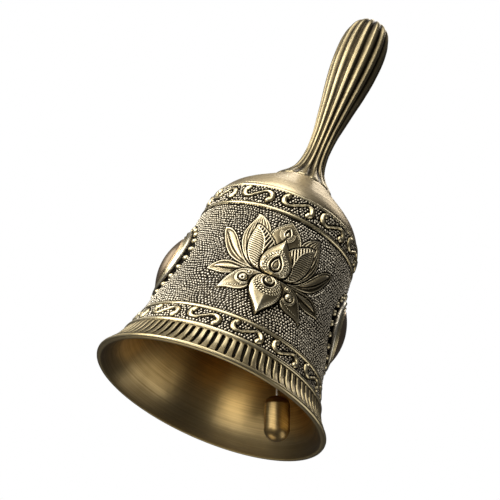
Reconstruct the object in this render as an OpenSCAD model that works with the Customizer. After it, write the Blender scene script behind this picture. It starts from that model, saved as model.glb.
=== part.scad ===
// Tibetan hand bell: a cast brass bell with a screwed-on fluted handle,
// an eye bolt through the crown, a link ring and a swinging clapper.
// Units are millimetres. Origin: centre of the mouth plane, +Z towards the
// handle, -Y the face with the flower relief, +X and -X the side medallions.

/* [Bell body] */
// Outer radius of the mouth at the lip
mouth_r = 34.2; // [33.8:0.1:34.6]
// Width of the flat annulus that the lip rests on
lip_flat = 1.3; // [0.8:0.1:1.6]
// Height of the raised rings above the wall
ring_r = 0.5; // [0.3:0.1:0.7]
// Height of the side medallion centres above the mouth
medallion_z = 33.5; // [30:0.5:36]
// Radius of the side medallion domes
medallion_r = 9.4; // [8:0.1:10]
// How far a medallion dome stands out of the wall
medallion_rise = 3.2; // [2:0.1:3.6]
// Radius of the bolt hole through the crown
crown_bore_r = 2.15; // [2.1:0.01:2.25]

/* [Handle] */
// Number of flutes round the handle
flutes = 14; // [12:1:16]
// Depth of the flutes at the widest place
flute_depth = 0.7; // [0.4:0.1:0.9]
// Width of the land between two flutes
land_w = 1.1; // [0.8:0.1:1.2]
// Radius of the blind hole for the eye bolt
handle_bore_r = 2.0; // [2:0.01:2.05]

/* [Crown hardware] */
// Radius of the eye bolt shank
shank_r = 1.95; // [1.85:0.01:1.95]
// Wire radius of the eye
eye_wire_r = 1.1; // [1:0.05:1.15]
// Mean radius of the eye
eye_r = 3.2; // [3.1:0.05:3.3]
// Across flats of the hex nut
nut_af = 7; // [6.8:0.1:7.2]
// Outer radius of the flat washer
washer_r = 4.5; // [4.2:0.1:5]

/* [Clapper] */
// Wire radius of the link ring
link_wire_r = 0.75; // [0.7:0.01:0.78]
// Mean radius of the link ring
link_r = 2.9; // [2.8:0.05:3]
// Wire radius of the clapper rod
rod_r = 0.6; // [0.5:0.05:0.6]
// Mean radius of the rod's top loop
loop_r = 2.2; // [2.1:0.05:2.3]
// Distance from the link to the middle of the bob's lower end
swing_len = 55.6; // [54:0.1:55.8]
// Radius of the bob
bob_r = 3.7; // [3.4:0.05:3.7]
// Length of the bob
bob_len = 13; // [11:0.5:14]
// How far the link leans to the back at rest
rest_back = 8.9; // [6:0.1:9.2]
// How far the clapper leans to the side at rest
rest_side = 22.0; // [18:0.1:23]

/* [Hidden] */
$fn = 96;

eye_z = 62;                        // centre of the eye
eye_bar_z = eye_z - eye_r;         // centre of the eye's lowest wire
running_gap = 0.05;                // free play where two wires hook
link_z = eye_bar_z + eye_wire_r + link_wire_r + running_gap - link_r;
link_bar_z = link_z - link_r;      // centre of the link's lowest wire
loop_z = link_bar_z + link_wire_r + rod_r + running_gap - loop_r;
bob_end_z = link_bar_z - swing_len; // centre of the bob's lower end, hanging

// A half round ring standing out of the wall at radius r and height z; slope
// is how far the wall moves inwards per millimetre of height there.
function ring_at(r, z, slope) = [for (a = [-90 : 30 : 90]) [r - slope * 0.55 * sin(a) + ring_r * cos(a), z + 0.55 * sin(a)]];

// Half profile of the outside, from the lip up to the crown seat, as
// [radius, height].
outer = concat(
    [[0, 0], [mouth_r - 0.75, 0], [mouth_r - 0.28, 0.14], [mouth_r, 0.55], [mouth_r - 0.15, 1.05],
     [33.6, 1.6], [31.7, 4.2], [30.25, 7.2]],
    ring_at(29.5, 8.65, 0.48),
    [[28.8, 10.3]],
    ring_at(27.4, 14.9, 0.25),
    [[26.3, 20.6], [25.4, 30.8], [24.4, 41.1]],
    ring_at(23.5, 51.4, 0.09),
    [[23.0, 56.6]],
    ring_at(22.6, 58.4, 0.25),
    [[22.1, 59.9], [20.5, 62.7], [17.6, 65.8], [14.4, 68.6], [11.4, 71.2],
     [8.9, 73.6], [7.2, 75.6], [0, 75.6]]
);
// Half profile of the hollow inside, from the crown down past the lip.
inner = [
    [0, 71.5], [6.6, 71.5], [8.4, 70.8], [11.6, 68.6], [14.6, 65.8], [17.2, 62.7],
    [19.2, 59.7], [20.4, 56.6], [21.2, 51.4], [22.1, 41.1], [23.0, 30.8],
    [24.0, 20.6], [25.2, 14.4], [26.6, 10.3], [27.9, 7.2], [29.4, 4.2],
    [31.3, 1.6], [mouth_r - 1.15 - lip_flat, 0.5], [mouth_r - 0.75 - lip_flat, 0],
    [mouth_r - 0.75 - lip_flat, -1], [0, -1]
];

// Half profile of the handle at the crest of its lands, from the crown up.
handle_crest = [
    [6.9, 75.6], [6.3, 76.3], [5.4, 77.6], [4.6, 79.3], [4.05, 81.3], [3.65, 83.4],
    [3.45, 86.4], [3.6, 89.6], [3.95, 93.7], [4.65, 98.8], [5.55, 105], [6.5, 111],
    [7.25, 117], [7.6, 122], [7.7, 126.4], [7.5, 130], [6.95, 133.3], [5.9, 136],
    [4.2, 137.9], [2.2, 138.8], [0, 139.1]
];
// The same profile drawn in by the flute depth, less where the handle is thin.
function flute_at(r) = min(flute_depth, flute_depth * r / 7.7);
handle_valley = [for (p = handle_crest) [max(0, p[0] - flute_at(p[0])), p[1] - (p[1] > 137 ? 0.45 : 0)]];

module torus(mean_r, wire_r) {
    rotate_extrude() translate([mean_r, 0]) circle(r = wire_r, $fn = 32);
}

// A shallow round dome let into the side wall.
module medallion(side) {
    foot_x = 21;
    rise = medallion_rise + 1.8;
    dome_r = (medallion_r * medallion_r + rise * rise) / (2 * rise);
    translate([side * (25.1 + medallion_rise), 0, medallion_z]) rotate([0, -side * 90, 0]) intersection() {
        cylinder(r = medallion_r, h = 25.1 + medallion_rise - foot_x);
        translate([0, 0, dome_r]) sphere(r = dome_r, $fn = 128);
    }
}

module bell_shell() {
    color("darkkhaki") difference() {
        union() {
            rotate_extrude() polygon(outer);
            medallion(1);
            medallion(-1);
        }
        rotate_extrude() polygon(inner);
        translate([0, 0, 68]) cylinder(r = crown_bore_r, h = 10);
    }
}

module handle() {
    color("gold") {
        difference() {
            union() {
                rotate_extrude() polygon(concat([[0, 75.6]], handle_valley));
                intersection() {
                    rotate_extrude() polygon(concat([[0, 75.6]], handle_crest));
                    for (i = [0 : flutes - 1])
                        rotate([0, 0, (i + 0.5) * 360 / flutes])
                            translate([0, -land_w / 2, 75.6]) cube([12, land_w, 70]);
                }
            }
            translate([0, 0, 70]) cylinder(r = handle_bore_r, h = 14);
        }
    }
}

module eye_bolt() {
    color("silver") {
        translate([0, 0, eye_z]) rotate([90, 0, 0]) torus(eye_r, eye_wire_r);
        translate([0, 0, eye_z + eye_r]) cylinder(r = shank_r, h = 83.4 - eye_z - eye_r);
    }
}

module flat_washer() {
    color("silver") difference() {
        translate([0, 0, 70.7]) cylinder(r = washer_r, h = 0.8);
        translate([0, 0, 70]) cylinder(r = crown_bore_r, h = 2);
    }
}

module spring_washer() {
    color("dimgray") difference() {
        translate([0, 0, 69.7]) cylinder(r = 3.8, h = 1);
        translate([0, 0, 69]) cylinder(r = crown_bore_r, h = 2);
        // The cut of the split washer.
        rotate([0, 0, 45]) translate([1, -0.3, 69]) cube([5, 0.6, 2]);
    }
}

module hex_nut() {
    color("silver") difference() {
        translate([0, 0, 66.5]) intersection() {
            cylinder(r = nut_af / 2 / cos(30), h = 3.2, $fn = 6);
            // Chamfers on both faces of the nut.
            rotate_extrude() polygon([[0, 0], [3.5, 0], [4.1, 0.35], [4.1, 2.85], [3.5, 3.2], [0, 3.2]]);
        }
        translate([0, 0, 66]) cylinder(r = 2.0, h = 4.2);
    }
}

// The link leans back about the eye's lowest wire.
module link_pose() {
    translate([0, 0, eye_bar_z]) rotate([rest_back, 0, 0]) translate([0, 0, -eye_bar_z]) children();
}

// The clapper leans sideways about the link's lowest wire.
module clapper_pose() {
    link_pose() translate([0, 0, link_bar_z]) rotate([0, -rest_side, 0]) translate([0, 0, -link_bar_z]) children();
}

module link_ring() {
    color("lightsteelblue") link_pose() translate([0, 0, link_z]) rotate([0, 90, 0]) torus(link_r, link_wire_r);
}

module clapper_rod() {
    color("lightsteelblue") clapper_pose() {
        translate([0, 0, loop_z]) rotate([90, 0, 0]) torus(loop_r, rod_r);
        translate([0, 0, bob_end_z + bob_len - bob_r - 3]) cylinder(r = rod_r, h = loop_z - loop_r - (bob_end_z + bob_len - bob_r - 3), $fn = 32);
    }
}

module clapper_bob() {
    // A turned bob with a full round lower end and a flatter shoulder.
    color("peru") clapper_pose() difference() {
        translate([0, 0, bob_end_z]) rotate_extrude() intersection() {
            union() {
                circle(r = bob_r, $fn = 64);
                polygon([[0, 0], [bob_r, 0], [bob_r, bob_len - bob_r - 2.2], [bob_r - 0.5, bob_len - bob_r - 1], [bob_r - 1.5, bob_len - bob_r - 0.25], [1.4, bob_len - bob_r], [0, bob_len - bob_r]]);
            }
            translate([0, -20]) square([20, 60]);
        }
        translate([0, 0, bob_end_z + bob_len - bob_r - 3]) cylinder(r = rod_r, h = 8, $fn = 32);
    }
}

bell_shell();
handle();
eye_bolt();
flat_washer();
spring_washer();
hex_nut();
link_ring();
clapper_rod();
clapper_bob();
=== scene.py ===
import math

import bpy
import numpy as np
from mathutils import Matrix, Vector


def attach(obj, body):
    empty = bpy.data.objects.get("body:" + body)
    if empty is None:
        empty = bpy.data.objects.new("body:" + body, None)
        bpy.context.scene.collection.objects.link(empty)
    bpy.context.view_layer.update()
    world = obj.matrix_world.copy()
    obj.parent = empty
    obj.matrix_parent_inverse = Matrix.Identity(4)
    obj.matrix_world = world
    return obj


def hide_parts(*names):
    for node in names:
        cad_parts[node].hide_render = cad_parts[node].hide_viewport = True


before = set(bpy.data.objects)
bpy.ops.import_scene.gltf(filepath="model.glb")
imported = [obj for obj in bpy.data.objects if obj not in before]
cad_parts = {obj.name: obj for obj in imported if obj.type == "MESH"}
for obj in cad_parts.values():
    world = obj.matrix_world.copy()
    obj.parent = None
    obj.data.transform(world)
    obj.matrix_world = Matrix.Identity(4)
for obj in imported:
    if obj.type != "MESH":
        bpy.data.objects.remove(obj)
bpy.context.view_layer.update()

MM = 0.001
rng = np.random.RandomState(7)


# ---------------------------------------------------------------- small maths
def pchip(xs, ys, x):
    """Monotone cubic through the points; xs increasing."""
    xs, ys, x = np.asarray(xs, float), np.asarray(ys, float), np.asarray(x, float)
    h, d = np.diff(xs), np.diff(ys) / np.diff(xs)
    m = np.zeros_like(xs)
    w1, w2 = 2 * h[1:] + h[:-1], h[1:] + 2 * h[:-1]
    ok = d[:-1] * d[1:] > 0
    a = np.where(ok, d[:-1], 1.0)
    b = np.where(ok, d[1:], 1.0)
    m[1:-1] = np.where(ok, (w1 + w2) / (w1 / a + w2 / b), 0.0)
    m[0], m[-1] = d[0], d[-1]
    i = np.clip(np.searchsorted(xs, x) - 1, 0, len(xs) - 2)
    t = (x - xs[i]) / h[i]
    t2, t3 = t * t, t * t * t
    return (
        (2 * t3 - 3 * t2 + 1) * ys[i]
        + (t3 - 2 * t2 + t) * h[i] * m[i]
        + (-2 * t3 + 3 * t2) * ys[i + 1]
        + (t3 - t2) * h[i] * m[i + 1]
    )


def smooth(a, b, x):
    t = np.clip((np.asarray(x, float) - a) / (b - a), 0, 1)
    return t * t * (3 - 2 * t)


def spline(pts, n=10):
    """Catmull-Rom through the points, ends kept."""
    p = np.asarray(pts, float)
    if len(p) < 3:
        return p
    q = np.vstack([2 * p[0] - p[1], p, 2 * p[-1] - p[-2]])
    out = []
    for k in range(len(p) - 1):
        a, b, c, d = q[k : k + 4]
        t = np.linspace(0, 1, n, endpoint=False)[:, None]
        out.append(
            0.5
            * (
                2 * b
                + (c - a) * t
                + (2 * a - 5 * b + 4 * c - d) * t**2
                + (3 * b - a - 3 * c + d) * t**3
            )
        )
    out.append(p[-1:])
    return np.vstack(out)


def resample(poly, step, start=0.0):
    """Points along a polyline at an even spacing."""
    poly = np.asarray(poly, float)
    seg = np.hypot(*np.diff(poly, axis=0).T)
    s = np.concatenate([[0], np.cumsum(seg)])
    n = max(1, int((s[-1] - start) / step))
    q = start + (np.arange(n) + 0.5) * (s[-1] - start) / n
    return np.stack([np.interp(q, s, poly[:, 0]), np.interp(q, s, poly[:, 1])], 1)


def blur(a, sigma_r, sigma_c):
    """Gaussian blur in cells, wrapping round the columns and holding at the first and last rows."""
    for axis, s in ((0, sigma_r), (1, sigma_c)):
        if s <= 0:
            continue
        k = max(1, int(math.ceil(2.6 * s)))
        w = np.exp(-0.5 * (np.arange(-k, k + 1) / s) ** 2)
        w /= w.sum()
        b = np.pad(a, ((k, k), (0, 0)), "edge") if axis == 0 else np.pad(a, ((0, 0), (k, k)), "wrap")
        out = np.zeros_like(a)
        for j, wj in enumerate(w):
            out += wj * (b[j : j + a.shape[0]] if axis == 0 else b[:, j : j + a.shape[1]])
        a = out
    return a


def soft_noise(rows, cols, cell_r, cell_c, seed):
    """Smooth random field from -1 to 1 that wraps round the columns."""
    r = np.random.RandomState(seed)
    a = r.randn(rows, cols)
    a = blur(a, cell_r, cell_c)
    return np.clip(a / (a.std() * 2.2), -1.6, 1.6)


# ------------------------------------------------------------------- profiles
OUT_Z = [0.55, 1.05, 1.6, 4.2, 7.2, 10.3, 14.4, 20.6, 30.8, 41.1, 51.4, 56.6, 59.9, 62.7, 65.8, 68.6, 71.2, 73.6, 75.6]
OUT_R = [34.2, 34.05, 33.6, 31.7, 30.25, 28.8, 27.5, 26.3, 25.4, 24.4, 23.5, 23.0, 22.1, 20.5, 17.6, 14.4, 11.4, 8.9, 7.2]
IN_Z = [0.5, 1.6, 4.2, 7.2, 10.3, 14.4, 20.6, 30.8, 41.1, 51.4, 56.6, 59.7, 62.7, 65.8, 68.6, 70.8, 71.5]
IN_R = [32.0, 31.3, 29.4, 27.9, 26.6, 25.2, 24.0, 23.0, 22.1, 21.2, 20.4, 19.2, 17.2, 14.6, 11.6, 8.4, 6.6]


def r_out(z):
    return pchip(OUT_Z, OUT_R, z)


def r_in(z):
    return pchip(IN_Z, IN_R, z)


def slope_out(z):
    return (r_out(np.asarray(z) + 0.02) - r_out(np.asarray(z) - 0.02)) / 0.04


RING_A, RING_B, RING_C, RING_D = 8.65, 14.9, 51.4, 58.4
CUT_A, CUT_B, CUT_C, CUT_D = 9.35, 15.6, 52.1, 59.1


def bead_ring(z, z0, half=0.5, rise=0.5):
    t = np.clip(1 - ((z - z0) / half) ** 2, 0, 1)
    return rise * np.sqrt(t)


# -------------------------------------------------------------------- pebbles
def pebbles(az, z, n_az, pitch, radius, rise, seed, wave=0.0, jit=0.2):
    """Rows of small domes. az in degrees, z in mm; n_az cells round the bell. Returns height and how near the middle of a dome each point is."""
    rows = 80
    rs = np.random.RandomState(seed)
    ju, jv = rs.uniform(-jit, jit, (2, rows, n_az))
    size = rs.uniform(0.84, 1.12, (rows, n_az))
    tall = rs.uniform(0.75, 1.1, (rows, n_az))
    v = z / pitch + wave * np.sin(np.radians(az) * 9 + z * 0.35) + 0.6 * wave * np.sin(np.radians(az) * 23 - z * 0.22 + 1.3)
    ph = np.radians(az)
    warp = 0.55 * np.sin(z * 0.50 + 1.4 * np.sin(ph * 5)) + 0.24 * np.sin(z * 1.05 + ph * 17)
    u = (az / 360.0 * n_az + warp * (wave > 0.2)) % n_az
    cell = 2 * np.pi * r_out(np.clip(z, 0.6, 75)) / n_az
    best = np.full(az.shape, 9.0)
    high = np.zeros(az.shape)
    jv0 = np.floor(v).astype(int)
    for dv in (-1, 0, 1):
        j = jv0 + dv
        off = 0.5 * (j % 2)
        i0 = np.floor(u - off).astype(int)
        for du in (-1, 0, 1):
            i = i0 + du
            jj, ii = j % rows, i % n_az
            dx = (u - (i + 0.5 + off + ju[jj, ii])) * cell
            dy = (v - (j + 0.5 + jv[jj, ii])) * pitch
            d = np.hypot(dx, dy) / (radius * size[jj, ii])
            t = tall[jj, ii] * np.clip(1 - d * d, 0, 1) ** 0.85
            high = np.maximum(high, t)
            best = np.minimum(best, d)
    return rise * high, np.clip(1 - best, 0, 1)


# --------------------------------------------------------- relief on a window
class Window:
    """A patch of wall in local millimetres: x along the wall, z up."""

    def __init__(self, x, z):
        self.x, self.z = x, z
        self.shape = x.shape

    def near(self, pts, pad):
        lo, hi = pts.min(0) - pad, pts.max(0) + pad
        return (self.x > lo[0]) & (self.x < hi[0]) & (self.z > lo[1]) & (self.z < hi[1])

    def line(self, pts, pad=2.0, closed=False):
        """Distance to a polyline; far away it is pad. Second result: how far along the line, from 0 to 1."""
        pts = np.asarray(pts, float)
        if closed:
            pts = np.vstack([pts, pts[:1]])
        d = np.full(self.shape, float(pad))
        t = np.zeros(self.shape)
        m = self.near(pts, pad)
        if not m.any():
            return d, t
        x, z = self.x[m], self.z[m]
        a, b = pts[:-1], pts[1:]
        seg = np.hypot(*(b - a).T)
        s0 = np.concatenate([[0], np.cumsum(seg)])
        total = max(s0[-1], 1e-9)
        bd = np.full(x.shape, 1e9)
        bt = np.zeros(x.shape)
        for k in range(len(a)):
            if seg[k] < 1e-9:
                continue
            e = (b[k] - a[k]) / seg[k]
            w = np.clip((x - a[k, 0]) * e[0] + (z - a[k, 1]) * e[1], 0, seg[k])
            q = np.hypot(x - a[k, 0] - w * e[0], z - a[k, 1] - w * e[1])
            c = q < bd
            bd = np.where(c, q, bd)
            bt = np.where(c, (s0[k] + w) / total, bt)
        d[m] = np.minimum(bd, pad)
        t[m] = bt
        return d, t

    def inside(self, poly):
        """Signed distance to a closed outline, above 0 inside it."""
        poly = np.asarray(poly, float)
        d, _ = self.line(poly, pad=3.0, closed=True)
        inn = np.zeros(self.shape, bool)
        m = self.near(poly, 0.0)
        x, z = self.x[m], self.z[m]
        c = np.zeros(x.shape, bool)
        q = np.roll(poly, -1, axis=0)
        for (x1, z1), (x2, z2) in zip(poly, q):
            if z1 == z2:
                continue
            hit = (z1 > z) != (z2 > z)
            c ^= hit & (x < (x2 - x1) * (z - z1) / (z2 - z1) + x1)
        inn[m] = c
        return np.where(inn, d, -d)


K = 0.4346  # millimetres of wall per degree in the flower's middle


def mm_pts(pts, flip=False):
    p = np.asarray(pts, float) * [K, 1.0]
    return p * [-1, 1] if flip else p


def outline(edge_a, edge_b, flip=False):
    """Closed outline from two edges that share their first and last points."""
    a, b = spline(mm_pts(edge_a, flip)), spline(mm_pts(edge_b, flip))
    return np.vstack([a, b[::-1][1:-1]])


def drop(cx, cz, w, up, down, flip=False, n=40):
    """A teardrop with its point up (up > 0); w and sizes in mm, centre in degrees and mm."""
    t = np.linspace(0, 2 * np.pi, n, endpoint=False)
    x = w * np.sin(t) * np.where(np.cos(t) > 0, (1 - 0.55 * np.cos(t) ** 2), 1.0)
    z = np.where(np.cos(t) > 0, up * np.cos(t), down * np.cos(t))
    p = np.stack([cx * K + x, cz + z], 1)
    return p * [-1, 1] if flip else p


def flower(win, ground):
    """Raises the flower out of the ground. Returns height and base tone."""
    h = ground.copy()
    tone = np.full(h.shape, 0.40)
    keep_out = np.full(h.shape, 3.0)

    def petal(poly, base, crown, rim=0.16, rim_w=0.17, level=0.35, edge=0.26, wide=1.4, deep=None):
        nonlocal h, tone, keep_out
        d = win.inside(poly)
        keep_out = np.minimum(keep_out, np.where(d > 0, 0, -d))
        if deep:
            q = np.clip(d / deep, 0, 1)
            body = base * smooth(-0.02, edge, d) + crown * np.sqrt(q * (2 - q))
        else:
            body = base * smooth(-0.02, edge, d) + crown * (1 - np.exp(-np.clip(d, 0, None) / wide))
        body = body + rim * np.exp(-(((d - 0.20) / rim_w) ** 2))
        # a narrow dark moat just outside the outline
        moat = np.exp(-(((d + 0.12) / 0.13) ** 2)) * (d < 0)
        h = np.where(d > 0, body, h * (1 - 0.7 * moat))
        tone = np.where(d > 0, level + 0.50 * np.exp(-(((d - 0.20) / 0.13) ** 2)), tone - 0.2 * moat)
        return d

    def ridge(pts, rise, width, where=None, lift=0.0, flip=False, taper=True, raw=False):
        nonlocal h, tone
        p = np.asarray(pts) if raw else spline(mm_pts(pts, flip))
        d, t = win.line(p, pad=1.2)
        g = np.exp(-((d / width) ** 2))
        if taper:
            g = g * smooth(0, 0.08, t + 0.03) * smooth(0, 0.08, 1.03 - t)
        if where is not None:
            g = g * where
        h = h + rise * g
        tone = tone + lift * g
        return d

    def beads(pts, radius, rise, where=None, level=0.75):
        nonlocal h, tone
        for cx, cz in np.asarray(pts):
            m = (np.abs(win.x - cx) < radius * 1.3) & (np.abs(win.z - cz) < radius * 1.3)
            if not m.any():
                continue
            d = np.hypot(win.x[m] - cx, win.z[m] - cz) / radius
            g = np.clip(1 - d * d, 0, 1) ** 0.6
            if where is not None:
                g = g * where[m]
            h[m] = h[m] + rise * g - 0.10 * np.exp(-(((d - 1.15) / 0.25) ** 2)) * (1 if where is None else where[m])
            tone[m] = np.maximum(tone[m], level * (g > 0.3))

    for f in (False, True):
        # outer upper petal
        top = [(-42.2, 42.3), (-37, 42.0), (-32, 40.5), (-27.5, 38.1), (-23.5, 35.6), (-19.5, 33.3), (-14.5, 31.5), (-8, 30.7)]
        low = [(-42.2, 42.3), (-40.3, 40.0), (-37, 37.3), (-33.3, 34.8), (-28.5, 32.7), (-22, 31.4), (-14.5, 30.8), (-8, 30.7)]
        d = petal(outline(top, low, f), 0.20, 0.22, rim=0.20, rim_w=0.14)
        w = smooth(0.3, 0.5, d)
        leaf_a = [(-39.5, 41.3), (-34.5, 40.7), (-29.5, 38.5), (-25, 35.7), (-20.5, 33.3), (-17, 32.2)]
        leaf_b = [(-39.5, 41.3), (-36.5, 39.4), (-32, 36.9), (-27.5, 34.8), (-22, 32.9), (-17, 32.2)]
        dl = win.inside(outline(leaf_a, leaf_b, f))
        h += np.where(dl > 0, 0.34 * (1 - np.exp(-np.clip(dl, 0, None) / 0.35)), -0.12 * np.exp(-((dl / 0.16) ** 2)) * w)
        tone = np.where(dl > 0.05, 0.37, tone)
        ridge([(-38.2, 39.9), (-34.6, 37.6), (-30.2, 35.2), (-25.8, 33.5), (-21, 32.1)], 0.15, 0.10, where=w, lift=0.2, flip=f)
        row = resample(spline(mm_pts([(-41.6, 39.6), (-38.4, 36.6), (-34.4, 34.0), (-29.2, 31.9), (-23.5, 30.9)], f)), 0.62)
        beads(row, 0.25, 0.30)
    for f in (False, True):
        # back upper petal
        le = [(-23.2, 48.5), (-24, 46.6), (-25.9, 44.4), (-27.1, 42), (-26.8, 39.6), (-25, 37.2), (-21.8, 34.8), (-17, 32.6), (-10, 31)]
        re = [(-23.2, 48.5), (-19.5, 48.0), (-15.4, 46.9), (-12.4, 45.4), (-10.7, 43.7), (-10.2, 41.5), (-10.5, 38), (-11, 34), (-10, 31)]
        d = petal(outline(le, re, f), 0.26, 0.22, rim=0.20, rim_w=0.14)
        w = smooth(0.28, 0.5, d)
        a, b = spline(mm_pts(le, f), 8), spline(mm_pts(re, f), 8)
        n = min(len(a), len(b))
        a, b = a[:n], b[:n]
        for k, fr in enumerate((0.13, 0.24, 0.35, 0.47, 0.60, 0.73, 0.86)):
            p = a * (1 - fr) + b * fr
            ridge(p[4 : int(n * 0.86)], 0.20, 0.095, where=w, lift=0.26, raw=True)
    # top middle petal
    le = [(0, 49.2), (-4.3, 47.8), (-8.2, 46.1), (-10.4, 44.4), (-11.1, 42.8), (-10, 40.5), (-6, 37.5), (0, 35)]
    re = [(-x, z) for x, z in le]
    d = petal(outline(le, re), 0.34, 0.26, rim=0.22, rim_w=0.15, level=0.38)
    inner_edge = np.exp(-(((d - 0.95) / 0.12) ** 2))
    h += 0.06 * inner_edge
    for f in (False, True):
        row = resample(spline(mm_pts([(-2.2, 47.6), (-5.6, 46.3), (-8.3, 44.9), (-9.2, 43.3)], f)), 0.55)
        beads(row, 0.2, 0.12)
    ring = drop(0, 44.9, 1.05, 2.0, 1.35)
    dd = win.inside(ring)
    w = smooth(0.3, 0.6, d)
    h += w * (0.36 * np.exp(-((dd / 0.15) ** 2)) - 0.16 * smooth(0.14, 0.34, dd))
    tone += w * 0.36 * np.exp(-((dd / 0.16) ** 2))
    for k in (0.42, 0.80, 1.18):
        g = np.exp(-(((dd + k) / 0.10) ** 2)) * (win.z < 45.6) * (np.abs(win.x) > 0.3)
        h += w * 0.17 * g
        tone += w * 0.26 * g
    dp = win.inside(drop(0, 44.7, 0.52, 1.0, 0.65))
    h += w * 0.34 * smooth(-0.1, 0.22, dp)
    tone = np.where(dp > 0.05, 0.8, tone)
    for f in (False, True):
        # front upper petal, hatched
        le = [(-21, 45.1), (-21.4, 42.8), (-21.9, 40.4), (-21.4, 38), (-19.7, 35.6), (-16.6, 33.3), (-12.6, 31.8), (-7.5, 31.0), (-2, 30.5)]
        re = [(-21, 45.1), (-16.5, 44.6), (-12.2, 43.5), (-8.4, 42.2), (-5.6, 41.0), (-3.6, 39.0), (-2.5, 35), (-2, 32), (-2, 30.5)]
        d = petal(outline(le, re, f), 0.42, 0.36, rim=0.22, rim_w=0.15, level=0.38)
        mid = spline(mm_pts([(-20.3, 44.2), (-16.0, 42.7), (-12.6, 40.7), (-10.9, 38), (-10.1, 35.4), (-10.1, 33), (-11.4, 31.7)], f))
        dm, _ = win.line(mid, pad=3)
        blade = np.vstack([spline(mm_pts(le[:7], f)), mid[::-1]])
        db = win.inside(blade)
        s = -1 if f else 1
        x, z = win.x * s, win.z
        w = smooth(0.36, 0.5, d) * smooth(0.1, 0.26, dm)
        hatch = np.cos(2 * np.pi * (z + 0.22 * x + 0.05 * np.sin(x * 2.2)) / 0.66)
        bars = np.cos(2 * np.pi * (x - 0.42 * z + 0.02 * z * z * 0.1) / 0.92)
        h += np.where(db > 0, 0.10 * hatch + 0.10 * smooth(0, 1.2, db), 0.17 * np.sign(bars) * np.abs(bars) ** 0.6) * w
        tone += np.where(db > 0, 0.10 * hatch + 0.10, 0.16 * np.sign(bars) * np.abs(bars) ** 0.6) * w
        h += 0.24 * np.exp(-((dm / 0.13) ** 2)) * smooth(0.1, 0.3, d)
        tone += 0.34 * np.exp(-((dm / 0.16) ** 2)) * (d > 0)
    for f in (False, True):
        # middle side petal
        top = [(-40, 27.4), (-36.8, 29.4), (-32.5, 30.8), (-27, 31.3), (-20.5, 31.0), (-14, 30.7), (-7, 30.6)]
        low = [(-40, 27.4), (-35.5, 27.1), (-30, 26.8), (-25, 27.1), (-21, 28.0), (-15, 29.2), (-7, 30.6)]
        d = petal(outline(top, low, f), 0.24, 0.22, rim=0.2, rim_w=0.14)
        w = smooth(0.28, 0.5, d)
        sp_a = [(-36, 28.4), (-32, 29.8), (-27, 30.3), (-21.5, 30.1), (-17, 29.9)]
        sp_b = [(-36, 28.4), (-31, 28.5), (-26, 28.7), (-21, 29.2), (-17, 29.9)]
        dl = win.inside(outline(sp_a, sp_b, f))
        h += np.where(dl > 0, 0.32 * (1 - np.exp(-np.clip(dl, 0, None) / 0.3)), -0.1 * np.exp(-((dl / 0.14) ** 2)) * w)
        tone = np.where(dl > 0.04, 0.37, tone)
        for k, q in enumerate((27.75, 28.15)):
            ridge([(-35 + k * 2, q + 0.05), (-29, q - 0.2), (-24, q + 0.1)], 0.12, 0.09, where=w, lift=0.1, flip=f)
    for f in (False, True):
        # lower side petal with a ring and a small ball
        top = [(-27.9, 21.7), (-26, 24.6), (-23.4, 27), (-20.5, 28.8), (-16.5, 30.0), (-11, 30.5), (-5, 30.5)]
        low = [(-27.9, 21.7), (-22.7, 22.6), (-16.5, 22.9), (-12.2, 23.9), (-9.9, 25.5), (-8, 28), (-5, 30.5)]
        d = petal(outline(top, low, f), 0.36, 0.50, rim=0.22, rim_w=0.15, level=0.42)
        w = smooth(0.25, 0.5, d)
        sx = 1 if f else -1
        bx, bz = sx * 14.9 * K, 27.05
        q = np.hypot(win.x - bx, win.z - bz)
        ang = np.arctan2(win.z - bz, (win.x - bx) * sx)
        h += w * (0.62 * np.sqrt(np.clip(1 - (q / 1.15) ** 2, 0, 1)) - 0.16 * np.exp(-(((q - 1.3) / 0.14) ** 2)))
        tone = np.where((q < 1.12) & (d > 0.2), 0.60, tone)
        for k, rr in enumerate((1.62, 2.0)):
            g = np.exp(-(((q - rr) / 0.13) ** 2)) * smooth(-2.9, -2.2, ang) * smooth(2.0, 1.2, ang) * w
            h += (0.26 - 0.08 * k) * g
            tone += 0.34 * g
        sq = np.hypot(win.x - bx, win.z - bz + 0.35)
        h -= w * 0.30 * np.clip(1 - (sq / 0.42) ** 2, 0, 1)
        tone -= w * 0.35 * np.clip(1 - (sq / 0.45) ** 2, 0, 1)
        beads([(sx * 12.7 * K, 29.2)], 0.52, 0.46, level=0.75)
        g = np.exp(-(((np.hypot(win.x - sx * 12.7 * K, win.z - 29.2) - 0.78) / 0.12) ** 2)) * w
        h += 0.18 * g
        tone += 0.25 * g
        row = resample(spline(mm_pts([(-24.6, 24.9), (-22.3, 26.7), (-19.8, 28.2)], f)), 0.55)
        beads(row, 0.2, 0.1)
        row = resample(spline(mm_pts([(-23.6, 23.6), (-18.0, 24.0), (-13.8, 24.9)], f)), 0.6)
        beads(row, 0.21, 0.12)
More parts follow.
